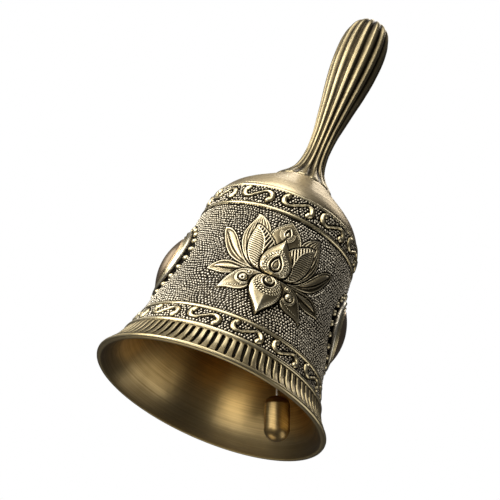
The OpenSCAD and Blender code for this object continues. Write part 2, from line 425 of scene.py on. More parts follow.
    # lower bud, pointing down
    le = [(0, 30.4), (-5.4, 30.0), (-8.9, 28.4), (-10, 26.2), (-9.1, 24), (-6.3, 22), (-3.2, 20.2), (-1.4, 18.9), (0, 17.7)]
    re = [(-x, z) for x, z in le]
    d = petal(outline(le, re), 0.42, 2.15, rim=0.12, rim_w=0.16, level=0.38, edge=0.22, deep=4.0)
    w = smooth(0.2, 0.6, d)
    dr = win.inside(drop(0, 28.0, 1.85, 2.1, 2.2))
    h += w * (0.34 * np.exp(-((dr / 0.17) ** 2)) - 0.10 * smooth(0.14, 0.36, dr))
    tone += w * (0.32 * np.exp(-((dr / 0.22) ** 2)) - 0.06 * smooth(0.14, 0.4, dr))
    dq = win.inside(drop(0, 28.2, 1.12, 1.7, 1.15))
    h += w * (0.36 * smooth(-0.16, 0.16, dq) + 0.10 * np.exp(-(((dq - 0.16) / 0.13) ** 2)) - 0.22 * np.exp(-(((dq - 0.46) / 0.12) ** 2)))
    tone += w * (0.30 * np.exp(-(((dq - 0.14) / 0.2) ** 2)) - 0.22 * smooth(0.36, 0.5, dq))
    for off, rad, rise, gap in ((0.60, 0.26, 0.24, 0.62), (1.22, 0.33, 0.30, 0.80), (1.86, 0.27, 0.22, 0.70)):
        loop = drop(0, 28.0, 1.85 + off, 2.1 + off * 1.0, 2.2 + off, n=160)
        pts = resample(np.vstack([loop, loop[:1]]), gap)
        pts = [q for q in pts if q[1] < 29.6]
        beads(pts, rad, rise, where=smooth(0.42, 0.62, d), level=0.86)
    row = resample(spline(mm_pts([(8.6, 26.6), (7.6, 24.4), (5.2, 22.4), (2.6, 20.7)])), 0.55)
    beads(row, 0.22, 0.14, level=0.75)
    # upper bud, pointing up
    le = [(0, 43.5), (-1.4, 41.8), (-4.2, 40.1), (-7.6, 38.1), (-9.5, 36.0), (-10, 34.0), (-8.8, 32.1), (-5.8, 30.9), (0, 30.4)]
    re = [(-x, z) for x, z in le]
    d = petal(outline(le, re), 0.42, 2.15, rim=0.12, rim_w=0.16, level=0.38, edge=0.22, deep=4.0)
    w = smooth(0.2, 0.6, d)
    dr = win.inside(drop(0, 33.0, 1.85, 3.7, 2.0))
    h += w * (0.34 * np.exp(-((dr / 0.17) ** 2)) - 0.10 * smooth(0.14, 0.36, dr))
    tone += w * (0.32 * np.exp(-((dr / 0.22) ** 2)) - 0.06 * smooth(0.14, 0.4, dr))
    dq = win.inside(drop(0, 32.9, 1.12, 2.4, 1.15))
    h += w * (0.36 * smooth(-0.16, 0.16, dq) + 0.10 * np.exp(-(((dq - 0.16) / 0.13) ** 2)) - 0.22 * np.exp(-(((dq - 0.46) / 0.12) ** 2)))
    tone += w * (0.30 * np.exp(-(((dq - 0.14) / 0.2) ** 2)) - 0.22 * smooth(0.36, 0.5, dq))
    for off, rad, rise, gap in ((0.60, 0.26, 0.24, 0.62), (1.22, 0.33, 0.30, 0.80), (1.86, 0.27, 0.22, 0.70)):
        loop = drop(0, 33.0, 1.85 + off, 3.7 + off * 0.75, 2.0 + off, n=160)
        pts = resample(np.vstack([loop, loop[:1]]), gap)
        pts = [q for q in pts if q[1] < 39.4]
        beads(pts, rad, rise, where=smooth(0.42, 0.62, d), level=0.86)
    for f in (False, True):
        for k, (x0, x1) in enumerate(((-9.2, -6.9), (-8.6, -6.1), (-8.0, -5.2))):
            ridge([(x0 + 0.5, 35.6 - 0.4 * k), (x0 + 0.6, 33.9 - 0.3 * k), (x1 + 0.4, 32.1 - 0.15 * k)], 0.12, 0.10, where=w, lift=0.2, flip=f)
    return h, tone, keep_out


def medallion(y, z):
    """Height and tone round a side medallion; y and z are measured from its middle. Third result is how much it hides the ground."""
    rho = np.hypot(y, z)
    ang = np.arctan2(z, y)
    h = np.zeros(rho.shape)
    tone = np.full(rho.shape, 0.22)
    # flat collar under the dome, which stands off the curved wall at its sides
    stand = 0.02 * y * y
    dome = rho < 8.1
    cap = 3.3 * (1 - (rho / 10.6) ** 2)
    collar = (0.80 + 0.30 * stand) * smooth(11.15, 10.75, rho)
    h = np.where(rho < 11.2, collar, h)
    tone = np.where(rho < 11.2, 0.34, tone)
    for r0, w, rise in ((8.95, 0.30, 0.50), (10.25, 0.30, 0.34)):
        g = np.exp(-(((rho - r0) / w) ** 2))
        h = h + rise * g
        tone = np.where(g > 0.35, 0.64, tone)
    h = h - 0.55 * np.exp(-(((rho - 8.35) / 0.2) ** 2))
    h = np.where(dome, np.maximum(cap + stand * 0.4, h), h)
    tone = np.where(dome, 0.70, tone)
    n = 24
    a = (ang / (2 * np.pi) * n) % 1.0 - 0.5
    dx = a * 2 * np.pi * 12.15 / n
    dd = np.hypot(dx, rho - 12.15) / 0.86
    g = np.clip(1 - dd * dd, 0, 1) ** 0.55
    h = np.maximum(h, 0.78 * g)
    tone = np.where(g > 0.15, 0.86, tone)
    hide = 1 - smooth(13.0, 13.35, rho)
    return h, tone, hide, rho


# ------------------------------------------------------------------ S scrolls
def scroll_band(az, z, r_mid, count, a0, z0, half_w, half_h, warp, seed, pitch, n_peb, thick, fat, rise):
    """Ground of pebbles with a row of lying S scrolls."""
    peb, core = pebbles(az, z, n_peb, pitch, 0.40, 0.36, seed, wave=0.12, jit=0.2)
    a = (az + 180) % 360 - 180
    phase = (a - a0 + math.degrees(warp) * np.sin(np.radians(a))) * count / 360.0
    k = np.round(phase)
    x = (phase - k) * 360.0 / count * r_mid * math.pi / 180
    y = z - z0
    half = [
        (-0.80, 1.00), (-0.96, 0.72), (-1.00, 0.25), (-0.95, -0.25), (-0.80, -0.62),
        (-0.58, -0.74), (-0.36, -0.56), (-0.16, -0.22), (0, 0),
    ]
    path = half + [(-p, -q) for p, q in half[::-1][1:]]
    pts = spline(np.asarray(path) * [half_w, half_h], 6)
    n = len(pts)
    best = np.full(x.shape, 9.0)
    s = np.linspace(0, 1, n)
    e = np.minimum(s, 1 - s)
    rad = thick + (fat - thick) * smooth(0.36, 0.16, e)
    for (px, py), r in zip(pts, rad):
        best = np.minimum(best, np.hypot(x - px, y - py) - r)
    for sx in (-1, 1):
        # the curled-in bulb at each end
        best = np.minimum(best, np.hypot(x - sx * 0.84 * half_w, y + sx * 0.84 * half_h) - fat * 1.05)
    body = np.clip(-best, 0, None)
    up = rise * (1 - np.exp(-body / 0.22)) + 0.30 * np.clip(body, 0, 0.8)
    moat = np.exp(-(((best - 0.16) / 0.16) ** 2)) * (best > 0)
    h = np.where(best < 0, up + 0.05, peb * (1 - 0.8 * moat) - 0.04 * moat)
    tone = np.where(best < 0, 0.66, 0.34 - 0.25 * moat)
    return h, tone, np.where(best < 0, 1.0, 0.15)


# ------------------------------------------------------------------- builders
def finish_mesh(name, verts, faces, mats, face_mat=None, attrs=None, sharp_faces=None, smooth_all=True):
    me = bpy.data.meshes.new(name)
    nv, nf = len(verts), len(faces)
    me.vertices.add(nv)
    me.vertices.foreach_set("co", np.asarray(verts, np.float32).ravel())
    faces = np.asarray(faces, np.int32)
    me.loops.add(nf * 4)
    me.loops.foreach_set("vertex_index", faces.ravel())
    me.polygons.add(nf)
    me.polygons.foreach_set("loop_start", np.arange(nf, dtype=np.int32) * 4)
    me.polygons.foreach_set("loop_total", np.full(nf, 4, np.int32))
    me.polygons.foreach_set("use_smooth", np.full(nf, smooth_all, bool))
    for m in mats:
        me.materials.append(m)
    if face_mat is not None:
        me.polygons.foreach_set("material_index", np.asarray(face_mat, np.int32))
    me.update(calc_edges=True)
    for key, val in (attrs or {}).items():
        a = me.attributes.new(key, "FLOAT", "POINT")
        a.data.foreach_set("value", np.asarray(val, np.float32).ravel())
    me.validate()
    ob = bpy.data.objects.new(name, me)
    bpy.context.scene.collection.objects.link(ob)
    return ob


def loop_piece(name, rz_h, az, mats, row_mat, tone, sharp_rows=(), gilt=None):
    """A closed ring whose section is a closed loop. rz_h is (rows, cols, 2) of radius and height in mm; az in degrees per column. The last row joins the first."""
    rows, cols = rz_h.shape[:2]
    a = np.radians(az)[None, :]
    r, z = rz_h[..., 0], rz_h[..., 1]
    v = np.stack([r * np.sin(a), -r * np.cos(a), z], -1).reshape(-1, 3) * MM
    i = np.arange(rows)[:, None]
    j = np.arange(cols)[None, :]
    i2, j2 = (i + 1) % rows, (j + 1) % cols
    f = np.stack([i * cols + j, i * cols + j2, i2 * cols + j2, i2 * cols + j], -1).reshape(-1, 4)
    fm = np.repeat(np.asarray(row_mat), cols)
    ob = finish_mesh(name, v, f, mats, fm, {"tone": tone, "gilt": np.zeros(rows * cols) + 0.6 if gilt is None else gilt})
    me = ob.data
    # crisp edges where the section turns a corner
    if len(sharp_rows):
        ne = len(me.edges)
        ev = np.zeros(ne * 2, np.int32)
        me.edges.foreach_get("vertices", ev)
        ev = ev.reshape(-1, 2) // cols
        s = np.zeros(ne, bool)
        for q in sharp_rows:
            s |= (ev[:, 0] == q) & (ev[:, 1] == q)
        att = me.attributes.new("sharp_edge", "BOOLEAN", "EDGE")
        att.data.foreach_set("value", s)
    return ob


# ------------------------------------------------------------------ materials
def new_mat(name):
    m = bpy.data.materials.new(name)
    m.use_nodes = True
    nt = m.node_tree
    nt.nodes.clear()
    out = nt.nodes.new("ShaderNodeOutputMaterial")
    p = nt.nodes.new("ShaderNodeBsdfPrincipled")
    nt.links.new(p.outputs[0], out.inputs[0])
    return m, nt, p


def node(nt, kind, **props):
    n = nt.nodes.new(kind)
    for k, v in props.items():
        setattr(n, k, v)
    return n


def coords(nt, scale=(1, 1, 1)):
    tc = node(nt, "ShaderNodeTexCoord")
    mp = node(nt, "ShaderNodeMapping")
    mp.inputs["Scale"].default_value = scale
    nt.links.new(tc.outputs["Object"], mp.inputs["Vector"])
    return mp.outputs[0]


def noise(nt, vec, scale, detail=4, rough=0.55, dist=0.0):
    n = node(nt, "ShaderNodeTexNoise")
    n.inputs["Scale"].default_value = scale
    n.inputs["Detail"].default_value = detail
    n.inputs["Roughness"].default_value = rough
    n.inputs["Distortion"].default_value = dist
    nt.links.new(vec, n.inputs["Vector"])
    return n.outputs["Fac"]


def ramp(nt, fac, stops, interp="LINEAR"):
    r = node(nt, "ShaderNodeValToRGB")
    r.color_ramp.interpolation = interp
    e = r.color_ramp.elements
    e[0].position, e[0].color = stops[0][0], (*stops[0][1], 1)
    e[1].position, e[1].color = stops[-1][0], (*stops[-1][1], 1)
    for pos, col in stops[1:-1]:
        n = e.new(pos)
        n.color = (*col, 1)
    nt.links.new(fac, r.inputs["Fac"])
    return r.outputs["Color"]


def math_node(nt, op, a, b=None, clamp=False):
    n = node(nt, "ShaderNodeMath", operation=op, use_clamp=clamp)
    for i, v in enumerate((a, b)):
        if v is None:
            continue
        if isinstance(v, (int, float)):
            n.inputs[i].default_value = v
        else:
            nt.links.new(v, n.inputs[i])
    return n.outputs[0]


def mix_col(nt, fac, a, b, blend="MIX"):
    n = node(nt, "ShaderNodeMix", data_type="RGBA", blend_type=blend)
    for sock, v in ((n.inputs["Factor"], fac), (n.inputs["A"], a), (n.inputs["B"], b)):
        pass
    fa = [s for s in n.inputs if s.name == "Factor" and s.type == "VALUE"][0]
    ca = [s for s in n.inputs if s.name == "A" and s.type == "RGBA"][0]
    cb = [s for s in n.inputs if s.name == "B" and s.type == "RGBA"][0]
    for sock, v in ((fa, fac), (ca, a), (cb, b)):
        if isinstance(v, (int, float)):
            sock.default_value = v
        elif isinstance(v, tuple):
            sock.default_value = (*v, 1)
        else:
            nt.links.new(v, sock)
    return [s for s in n.outputs if s.type == "RGBA"][0]


def bump(nt, p, height, strength, distance):
    b = node(nt, "ShaderNodeBump")
    b.inputs["Strength"].default_value = strength
    b.inputs["Distance"].default_value = distance
    nt.links.new(height, b.inputs["Height"])
    nt.links.new(b.outputs[0], p.inputs["Normal"])
    return b


def relief_metal(name, pale, gold, spread=0.10, rough=(0.50, 0.26), gilt=None):
    """Antiqued casting: tone attribute from dark recess to rubbed crest and gilt from silvery to golden, broken up by noise."""
    m, nt, p = new_mat(name)
    at = node(nt, "ShaderNodeAttribute", attribute_name="tone")
    v = coords(nt)
    blotch = noise(nt, v, 95, 3, 0.6)
    grain = noise(nt, v, 900, 3, 0.6)
    t = math_node(nt, "ADD", at.outputs["Fac"], math_node(nt, "MULTIPLY", math_node(nt, "SUBTRACT", blotch, 0.5), spread * 2))
    t = math_node(nt, "ADD", t, math_node(nt, "MULTIPLY", math_node(nt, "SUBTRACT", grain, 0.5), spread * 1.5), clamp=True)
    warm = noise(nt, v, 40, 3, 0.5)
    if gilt is None:
        ga = node(nt, "ShaderNodeAttribute", attribute_name="gilt").outputs["Fac"]
    else:
        ga = gilt
    g = math_node(nt, "ADD", ga, math_node(nt, "MULTIPLY", math_node(nt, "SUBTRACT", warm, 0.5), 0.9), clamp=True)
    col = mix_col(nt, g, ramp(nt, t, pale), ramp(nt, t, gold))
    nt.links.new(col, p.inputs["Base Color"])
    p.inputs["Metallic"].default_value = 1.0
    r = ramp(nt, t, [(0.0, (rough[0],) * 3), (0.55, (rough[1] + 0.08,) * 3), (1.0, (rough[1],) * 3)])
    fine = noise(nt, v, 1600, 2, 0.5)
    r = math_node(nt, "ADD", r, math_node(nt, "MULTIPLY", math_node(nt, "SUBTRACT", fine, 0.5), 0.12), clamp=True)
    nt.links.new(r, p.inputs["Roughness"])
    bump(nt, p, grain, 0.25, 0.00006)
    return m


PALE_STOPS = [
    (0.00, (0.006, 0.005, 0.004)),
    (0.22, (0.024, 0.020, 0.015)),
    (0.45, (0.175, 0.150, 0.110)),
    (0.70, (0.42, 0.375, 0.285)),
    (1.00, (0.74, 0.685, 0.565)),
]
GOLD_STOPS = [
    (0.00, (0.008, 0.006, 0.003)),
    (0.22, (0.040, 0.029, 0.013)),
    (0.45, (0.20, 0.152, 0.070)),
    (0.70, (0.54, 0.43, 0.215)),
    (1.00, (0.80, 0.69, 0.43)),
]
mat_relief = relief_metal("antique_brass_relief", PALE_STOPS, GOLD_STOPS, rough=(0.50, 0.30))
mat_handle = relief_metal("antique_brass_handle", PALE_STOPS, GOLD_STOPS, spread=0.10, rough=(0.42, 0.27), gilt=0.66)


def brushed(name, light, dark, scale_vec, rough, line_strength=0.35, contrast=0.5, blot=0.35, turned=0.0):
    """Satin metal with fine parallel brush lines round the axis."""
    m, nt, p = new_mat(name)
    lines = noise(nt, coords(nt, scale_vec), 1.0, 5, 0.65)
    wide = noise(nt, coords(nt, tuple(s * 0.22 for s in scale_vec)), 1.0, 3, 0.5)
    v = coords(nt)
    cloud = noise(nt, v, 48, 3, 0.55)
    f = math_node(nt, "ADD", math_node(nt, "MULTIPLY", math_node(nt, "SUBTRACT", lines, 0.5), contrast * 3.0), 0.5)
    f = math_node(nt, "ADD", f, math_node(nt, "MULTIPLY", math_node(nt, "SUBTRACT", wide, 0.5), contrast * 2.4))
    f = math_node(nt, "ADD", f, math_node(nt, "MULTIPLY", math_node(nt, "SUBTRACT", cloud, 0.5), blot * 2.0), clamp=True)
    col = ramp(nt, f, [(0.10, dark), (0.80, light)])
    nt.links.new(col, p.inputs["Base Color"])
    p.inputs["Metallic"].default_value = 1.0
    r = ramp(nt, f, [(0.1, (rough + 0.1,) * 3), (0.7, (rough - 0.03,) * 3)])
    nt.links.new(r, p.inputs["Roughness"])
    bump(nt, p, lines, line_strength, 0.00004)
    if turned:
        # brush lines run round the axis, so highlights spread along it
        p.inputs["Anisotropic"].default_value = turned
        p.inputs["Anisotropic Rotation"].default_value = 0.25
        tg = node(nt, "ShaderNodeTangent", direction_type="RADIAL", axis="Z")
        nt.links.new(tg.outputs[0], p.inputs["Tangent"])
    return m


mat_shoulder = brushed("satin_brass_shoulder", (0.72, 0.595, 0.375), (0.42, 0.33, 0.195), (18, 18, 3000), 0.38, 0.6, 0.5, 0.4, 0.6)
mat_inside = brushed("satin_brass_inside", (0.62, 0.46, 0.215), (0.35, 0.245, 0.10), (14, 14, 2600), 0.38, 0.7, 0.42, 0.8, 0.6)


def deepen(m, dark, low, high):
    """Shifts a finish towards another colour between two heights inside the bell, full at the second."""
    nt = m.node_tree
    p = [n for n in nt.nodes if n.type == "BSDF_PRINCIPLED"][0]
    was = p.inputs["Base Color"].links[0].from_socket
    sep = node(nt, "ShaderNodeSeparateXYZ")
    nt.links.new(coords(nt), sep.inputs[0])
    t = math_node(nt, "MULTIPLY", math_node(nt, "SUBTRACT", sep.outputs["Z"], low), 1 / (high - low), clamp=True)
    nt.links.new(mix_col(nt, t, was, mix_col(nt, 1.0, was, dark, "MULTIPLY")), p.inputs["Base Color"])


# painted warm glow: the inside turns more orange from low down up towards the crown, standing in for light bouncing
# deep in the bell
deepen(mat_inside, (1.24, 0.97, 0.42), 0.005, 0.028)
# painted shade: the flare just inside the mouth is darker and greyer
deepen(mat_inside, (0.62, 0.62, 0.66), 0.0075, 0.0005)
mat_medal = brushed("bronzed_medallion", (0.60, 0.44, 0.26), (0.34, 0.235, 0.13), (700, 60, 60), 0.26, 0.3, 0.4, 0.6)
mat_bob = brushed("turned_brass_bob", (0.66, 0.475, 0.21), (0.38, 0.255, 0.10), (40, 40, 3000), 0.33, 0.2, 0.5, 0.5)
mat_steel = brushed("plated_steel", (0.66, 0.64, 0.60), (0.34, 0.33, 0.31), (300, 300, 900), 0.28, 0.3, 0.5, 0.4)
mat_wire = brushed("drawn_wire", (0.78, 0.76, 0.72), (0.46, 0.45, 0.43), (900, 900, 90), 0.24, 0.25, 0.5, 0.3)
mat_dark_steel = brushed("dark_spring_steel", (0.16, 0.155, 0.15), (0.05, 0.05, 0.05), (300, 300, 900), 0.36, 0.3, 0.5, 0.4)


# ----------------------------------------------------------------- bell wall
def highpass_tone(h, base, cell_r, cell_c, fine=0.42, gain=4.0, soft=1.4, soft_gain=0.5):
    """Tone from how far each place stands above its surroundings, near and wide."""
    near = h - blur(h, fine / cell_r, fine / cell_c)
    wide = h - blur(h, soft / cell_r, soft / cell_c)
    return np.clip(base + gain * near + soft_gain * np.clip(wide, -0.4, 0.4), 0, 1)


def loop_section(rows_out_z, h, cols, az, z_lo, z_hi, inner_rows, extra_low=None):
    """Outer rows displaced along the profile's normal by h, then the inside rows back down."""
    z = rows_out_z
    r = r_out(z)
    s = slope_out(z)
    ln = np.sqrt(1 + s * s)
    nr, nz = 1 / ln, -s / ln
    R = r[:, None] + h * nr[:, None]
    Z = z[:, None] + h * nz[:, None]
    # the first and last rows keep their height so that neighbours meet
    Z[0, :], Z[-1, :] = z[0], z[-1]
    outer = np.stack([R, Z], -1)
    zi = np.linspace(z_hi, z_lo, inner_rows)
    inner = np.repeat(np.stack([r_in(zi), zi], -1)[:, None, :], cols, 1)
    return outer, inner


shell = []


def band_piece(name, z_lo, z_hi, rows, cols, inner_rows, height, mats=None, extra=None):
    az = np.arange(cols) * 360.0 / cols
    z = np.linspace(z_lo, z_hi, rows)
    A, Z = np.meshgrid(az, z)
    h, tone, gilt = height(A, Z)
    gilt = np.concatenate([gilt, np.full((inner_rows, cols), 0.6)], 0)
    outer, inner = loop_section(z, h, cols, az, z_lo, z_hi, inner_rows)
    sec = np.concatenate([outer, inner], 0)
    full_tone = np.concatenate([tone, np.full((inner_rows, cols), 0.5)], 0)
    row_mat = [0] * (rows - 1) + [1] + [1] * (inner_rows - 1) + [1]
    ob = loop_piece(name, sec, az, mats or [mat_relief, mat_inside], row_mat, full_tone, sharp_rows=(0, rows - 1, rows, rows + inner_rows - 1), gilt=gilt)
    if extra is not None:
        mi = np.repeat(np.asarray(row_mat, np.int32), cols).reshape(rows + inner_rows, cols)
        mi[: rows - 1][extra(A, Z)[: rows - 1]] = 2
        ob.data.polygons.foreach_set("material_index", mi.ravel())
        ob.data.update()
    shell.append(ob)
    return ob


def wall_height(A, Z):
    peb, core = pebbles(A, Z, 184, 0.79, 0.375, 0.44, 11, wave=0.40, jit=0.12)
    rows, cols = A.shape
    base = np.full(A.shape, 0.35)
    gilt = np.full(A.shape, 0.12)
    h = peb.copy()
    # flowers front and back
    a = (A[0] + 180) % 360 - 180
    a = a - 2.7
    a = (a + 180) % 360 - 180
    sel = np.where(np.abs(a) < 45.5)[0]
    order = sel[np.argsort(a[sel])]
    win = Window(np.repeat((a[order] * K)[None, :], rows, 0), Z[:, order])
    fh, ft, out = flower(win, peb[:, order])
    h[:, order] = fh
    base[:, order] = ft
    on = smooth(0.06, 0.0, out)
    gilt[:, order] = np.maximum(gilt[:, order], 0.62 * on)
    back = (order + cols // 2) % cols
    win2 = fh - peb[:, order]
    mask = out < 0.45
    h[:, back] = np.where(mask, fh, peb[:, back])
    base[:, back] = np.where(mask, ft, base[:, back])
    gilt[:, back] = np.maximum(gilt[:, back], 0.62 * on)
    # medallions on both sides
    for centre in (90.0, 270.0):
        da = (A - centre + 180) % 360 - 180
        y = r_out(Z) * np.sin(np.radians(da))
        mh, mt, hide, rho = medallion(np.where(np.abs(da) < 60, y, 40), Z - 33.2)
        h = h * (1 - hide) + mh * hide
        base = np.where(hide > 0.5, mt, base)
        gilt = np.where((hide > 0.5) & (mt > 0.5), 0.95, gilt)
    ring = bead_ring(Z, RING_C)
    near_ring = np.exp(-(((Z - RING_C + 0.95) / 0.25) ** 2))
    h = np.where(ring > 0, np.maximum(ring, h * 0.2), h * (1 - 0.8 * near_ring))
    base = np.where(ring > 0.12, 0.86, base - 0.2 * near_ring)
    foot = 1 - smooth(CUT_B, CUT_B + 0.35, Z)
    h = h * (1 - foot)
    h = h * smooth(-0.01, 0.1, CUT_C - Z)
    cell_r = (Z[-1, 0] - Z[0, 0]) / (rows - 1)
    cell_c = 2 * np.pi * 25 / cols
    tone = highpass_tone(h, base, cell_r, cell_c)
    tone = tone - 0.3 * foot
    # slow wear and dirt over the whole wall, and a painted pool of light
    wear = soft_noise(rows, cols, 22, 26, 3)
    da = (A + 180) % 360 - 180
    # painted pool of light: a soft bright patch on the front of the wall, below and left of the flower
    painted_light_pool = np.exp(-(((da + 16) / 17) ** 2) - (((Z - 19.5) / 4.5) ** 2))
    tone = np.clip(tone + 0.07 * wear + 0.26 * painted_light_pool, 0, 1)
    gilt = np.where(ring > 0.05, 1.0, gilt)
    return h, tone, gilt


def low_band(A, Z):
    h, tone, gilt = scroll_band(A, Z, 28.2, 14, -4.6 + 7.35, 12.0, 4.3, 1.55, 0.0286, 21, 0.80, 196, 0.42, 0.84, 0.50)
    ring = bead_ring(Z, RING_B)
    h = np.where(ring > 0, np.maximum(ring, h * 0.2), h)
    tone = np.where(ring > 0.12, 0.86, tone)
    foot = 1 - smooth(CUT_A, CUT_A + 0.3, Z)
    h = h * (1 - foot) * smooth(-0.01, 0.1, CUT_B - Z)
    rows, cols = A.shape
    tone = highpass_tone(h, tone, (Z[-1, 0] - Z[0, 0]) / (rows - 1), 2 * np.pi * 28.2 / cols)
    tone = np.clip(tone - 0.3 * foot + 0.06 * soft_noise(rows, cols, 12, 26, 4), 0, 1)
    return h, tone, np.where(ring > 0.05, 1.0, gilt)


def top_band(A, Z):
    h, tone, gilt = scroll_band(A, Z, 23.2, 12, -7.9 + 9.4, 55.3, 4.35, 1.7, 0.0, 31, 0.82, 160, 0.42, 0.86, 0.50)
    ring = bead_ring(Z, RING_D, 0.46, 0.42)
    h = np.where(ring > 0, np.maximum(ring, h * 0.2), h)
    tone = np.where(ring > 0.12, 0.86, tone)
    foot = 1 - smooth(CUT_C, CUT_C + 0.3, Z)
    h = h * (1 - foot) * smooth(-0.01, 0.1, CUT_D - Z)
    rows, cols = A.shape
    tone = highpass_tone(h, tone, (Z[-1, 0] - Z[0, 0]) / (rows - 1), 2 * np.pi * 23.2 / cols)
    tone = np.clip(tone - 0.3 * foot + 0.06 * soft_noise(rows, cols, 12, 26, 5), 0, 1)
    return h, tone, np.where(ring > 0.05, 1.0, gilt)


def in_medallion(A, Z):
    out = np.zeros(A.shape, bool)
    for centre in (90.0, 270.0):
        da = (A - centre + 180) % 360 - 180
        y = r_out(Z) * np.sin(np.radians(da))
        out |= (np.abs(da) < 60) & (np.hypot(y, Z - 33.2) < 8.1)
    return out


band_piece("bell_wall", CUT_B, CUT_C, 284, 1200, 26, wall_height, [mat_relief, mat_inside, mat_medal], in_medallion)
band_piece("bell_lower_band", CUT_A, CUT_B, 56, 1440, 6, low_band)
band_piece("bell_upper_band", CUT_C, CUT_D, 60, 1200, 6, top_band)


# lip with ribs, rim and the first ring
def lip():
    cols, n = 1440, 90
    az = np.arange(cols) * 360.0 / cols
    # section from the inside edge of the resting face, round the rim and up
    low = [(33.0, 0.0), (33.36, 0.0), (33.66, 0.05), (33.94, 0.16), (34.1, 0.32), (34.2, 0.55)]
    z_up = np.linspace(0.62, CUT_A, 78)
    A, Z = np.meshgrid(az, z_up)
    phase = ((A - 0.7) * n / 360.0) % 1.0
    t = np.abs(phase - 0.5) * 2  # 0 on a rib, 1 in a slot
    rs = np.random.RandomState(5)
    top = 7.95 + np.repeat(rs.uniform(-0.12, 0.12, n), cols // n)[None, :]
    bot = 1.15 + np.repeat(rs.uniform(-0.12, 0.12, n), cols // n)[None, :]
    half = 0.52
    # slots with a rounded upper end and a tapered lower end
    w_mm = (1 - t) * 0.5 * 2 * np.pi * r_out(Z) / n  # distance from the slot's middle line
    taper = half * smooth(0, 1.1, Z - bot + 0.25) * (0.8 + 0.2 * smooth(bot, top, Z))
    d_end = np.hypot(w_mm, np.clip(Z - (top - half), 0, None))
    d = np.where(Z > top - half, half - d_end, taper - w_mm)
    d = np.where(Z < bot, -0.2, d)
    slot = smooth(-0.05, 0.24, d)
    rib_round = 0.10 * np.cos(t * np.pi / 2)
    h = rib_round * smooth(1.0, 2.0, Z) * (1 - smooth(7.4, 7.9, Z)) - 0.72 * slot
    ring = bead_ring(Z, RING_A, 0.5, 0.5)
    h = np.where(ring > 0, np.maximum(ring, h), h)
    # rim bead between the lip's edge and the ribs
    h = h + 0.10 * np.exp(-(((Z - 0.85) / 0.25) ** 2))
    h = h * smooth(-0.01, 0.1, CUT_A - Z)
    rows = len(z_up)
    base = np.where(slot > 0.3, 0.05, 0.44)
    base = np.where(ring > 0.1, 0.84, base)
    base = np.where((Z < 1.15) & (slot < 0.3), 0.66, base)
    tone = highpass_tone(h, base, (z_up[-1] - z_up[0]) / (rows - 1), 2 * np.pi * 32 / cols, gain=0.9)
    tone = np.clip(tone + 0.07 * soft_noise(rows, cols, 12, 30, 6), 0, 1)
    outer, inner = loop_section(z_up, h, cols, az, 1.6, CUT_A, 14)
    outer[0, :, 1] = 0.62 + 0 * outer[0, :, 1]
    lowr = np.repeat(np.asarray(low, float)[:, None, :], cols, 1)
    tail = [(31.75, 1.08), (32.12, 0.68), (32.42, 0.38), (32.66, 0.16), (32.84, 0.04)]
    tailr = np.repeat(np.asarray(tail, float)[:, None, :], cols, 1)
    sec = np.concatenate([lowr, outer, inner, tailr], 0)
    full = np.concatenate([np.full((len(low), cols), 0.82), tone, np.full((14 + len(tail), cols), 0.6)], 0)
    nl, no = len(low), rows
    row_mat = [0] * (nl + no - 1) + [1] * (14) + [1] * 4 + [0] * (len(tail) - 4)
    row_mat = row_mat[: sec.shape[0] - 1] + [0]
    gilt = np.full(full.shape, 0.95)
    gilt[nl : nl + no] = np.where(slot > 0.3, 0.8, 0.75 + 0.2 * (Z < 1.2) + 0.2 * (ring > 0.05))
    ob = loop_piece("bell_lip", sec, az, [mat_relief, mat_inside], row_mat, full, sharp_rows=(nl + no - 1, nl + no), gilt=gilt)
    shell.append(ob)


lip()


# smooth shoulder with the seat for the handle and the crown's inside
def shoulder():
    cols = 480
    az = np.arange(cols) * 360.0 / cols
    z = np.concatenate([np.linspace(CUT_D, 62, 16)[:-1], np.linspace(62, 75.6, 46)])
    r = r_out(z)
    groove = -0.12 * np.exp(-(((z - 59.45) / 0.16) ** 2))
    outer = np.stack([r + groove, z], -1)
    outer[0] = (r_out(CUT_D), CUT_D)
    seat = np.asarray([(5.5, 75.6), (3.8, 75.6), (2.15, 75.6), (2.15, 73.5), (2.15, 71.5), (4.2, 71.5), (6.6, 71.5)])
    zi = np.array([71.2, 70.8, 70.2, 69.4, 68.6, 67.7, 66.8, 65.8, 64.7, 63.7, 62.7, 61.7, 60.7, 59.9, CUT_D])
    inner = np.stack([r_in(zi), zi], -1)
    sec = np.vstack([outer, seat, inner])
    sec = np.repeat(sec[:, None, :], cols, 1)
    no, ns = len(outer), len(seat)
    rows = sec.shape[0]
    row_mat = [0] * (no - 1) + [1] * (rows - no + 1)
    ob = loop_piece("bell_shoulder", sec, az, [mat_shoulder, mat_inside], row_mat, np.full((rows, cols), 0.6),
                    sharp_rows=(0, no - 1, no + 2, no + 4, no + ns - 1, rows - 1))
    shell.append(ob)


shoulder()
for ob in shell:
    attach(ob, "bell")
    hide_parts("bell_shell")


# --------------------------------------------------------------------- handle
H_CREST = [
    (9.42, 72.55), (9.60, 73.05), (9.40, 73.62), (8.85, 74.35), (7.9, 75.45), (6.9, 76.65), (5.95, 78.0), (5.12, 79.5), (4.5, 81.3), (4.05, 83.2),
    (3.75, 85.6), (3.65, 88.4), (3.95, 93.7), (4.65, 98.8), (5.55, 105), (6.5, 111), (7.25, 117), (7.6, 122), (7.7, 126.4), (7.5, 130),
    (6.95, 133.3), (5.9, 136), (4.2, 137.9), (2.2, 138.8), (0.0, 139.1),
]


